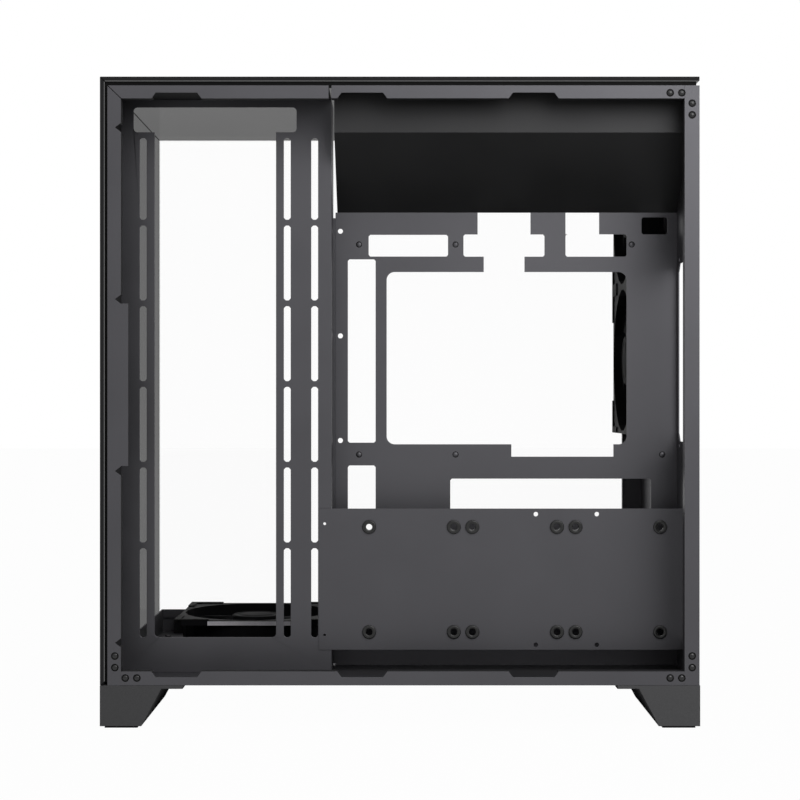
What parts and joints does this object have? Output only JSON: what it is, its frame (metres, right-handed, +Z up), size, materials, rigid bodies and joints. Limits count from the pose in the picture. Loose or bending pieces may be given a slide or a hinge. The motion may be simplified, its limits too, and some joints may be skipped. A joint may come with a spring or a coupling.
{
  "type": "computer case",
  "caption": "Dual-chamber desktop computer case with glass front, top and left side, slotted fan bracket, folded board tray, drive panel, fans and wedge feet; open on the cable side.",
  "frame": {"origin": "on the ground under the middle of the case", "axes": "+X to the open cable side, +Y to the rear, +Z up"},
  "size_m": [0.285, 0.42, 0.456],
  "materials": {
    "coated_steel": "fine matt powder coat",
    "tinted_glass": "grey tinted toughened glass",
    "clear_glass": "clear toughened glass",
    "black_rubber": "soft matt rubber",
    "fan_plastic": "moulded black plastic",
    "rotor_plastic": "moulded black plastic",
    "black_fasteners": "black oxide steel",
    "plated_standoff": "dark plated steel",
    "foot_plastic": "moulded dark grey plastic",
    "io_plastic": "moulded black plastic",
    "button_plastic": "satin dark plastic",
    "port_metal": "bright plated shell"
  },
  "bodies": {
    "chassis": {"audio_jack": "io_plastic", "bottom_fan_frame": "fan_plastic", "bottom_rail": "coated_steel", "corner_gussets": "coated_steel", "drive_grommets": "black_rubber", "drive_panel": "coated_steel", "fan_pads": "black_rubber", "fan_screws": "black_fasteners", "floor_panel": "coated_steel", "foot_front_left": "foot_plastic", "foot_front_right": "foot_plastic", "foot_pads": "black_rubber", "foot_rear_left": "foot_plastic", "foot_rear_right": "foot_plastic", "foot_screws": "black_fasteners", "frame_rivets": "black_fasteners", "front_gasket": "black_rubber", "front_glass": "tinted_glass", "front_rail": "coated_steel", "io_housing": "io_plastic", "left_bottom_rail": "coated_steel", "left_glass": "clear_glass", "left_rear_rail": "coated_steel", "motherboard_tray": "coated_steel", "pci_covers": "coated_steel", "pci_screws": "black_fasteners", "rear_lower_fan_frame": "fan_plastic", "rear_panel": "coated_steel", "rear_rail": "coated_steel", "rear_upper_fan_frame": "fan_plastic", "side_fan_bracket": "coated_steel", "standoffs": "plated_standoff", "top_gasket": "black_rubber", "top_glass": "tinted_glass", "top_rail_front": "coated_steel", "top_rail_rear": "coated_steel", "tray_front_arm": "coated_steel", "tray_hood": "coated_steel", "tray_rear_arm": "coated_steel", "usb_c_port": "port_metal", "usb_ports": "port_metal"},
    "rear_upper_rotor": {"rear_upper_fan_rotor": "rotor_plastic"},
    "rear_lower_rotor": {"rear_lower_fan_rotor": "rotor_plastic"},
    "bottom_rotor": {"bottom_fan_rotor": "rotor_plastic"},
    "power_key": {"power_button": "button_plastic"},
    "reset_key": {"reset_button": "button_plastic"}
  },
  "joints": [
    {"name": "rear_upper_fan_spin", "type": "hinge", "parent": "chassis", "child": "rear_upper_rotor", "pos_m": [-0.0655, 0.194, 0.3822], "axis": [0, 1, 0], "continuous": true},
    {"name": "rear_lower_fan_spin", "type": "hinge", "parent": "chassis", "child": "rear_lower_rotor", "pos_m": [-0.0655, 0.194, 0.2622], "axis": [0, 1, 0], "continuous": true},
    {"name": "bottom_fan_spin", "type": "hinge", "parent": "chassis", "child": "bottom_rotor", "pos_m": [-0.0655, -0.117, 0.0445], "axis": [0, 0, 1], "continuous": true},
    {"name": "power_button_press", "type": "slide", "parent": "chassis", "child": "power_key", "axis": [1, 0, 0], "range_m": [0, 0.0012], "stiffness_N_per_m": 400, "springref_m": -0.001},
    {"name": "reset_button_press", "type": "slide", "parent": "chassis", "child": "reset_key", "axis": [1, 0, 0], "range_m": [0, 0.0012], "stiffness_N_per_m": 400, "springref_m": -0.001}
  ]
}
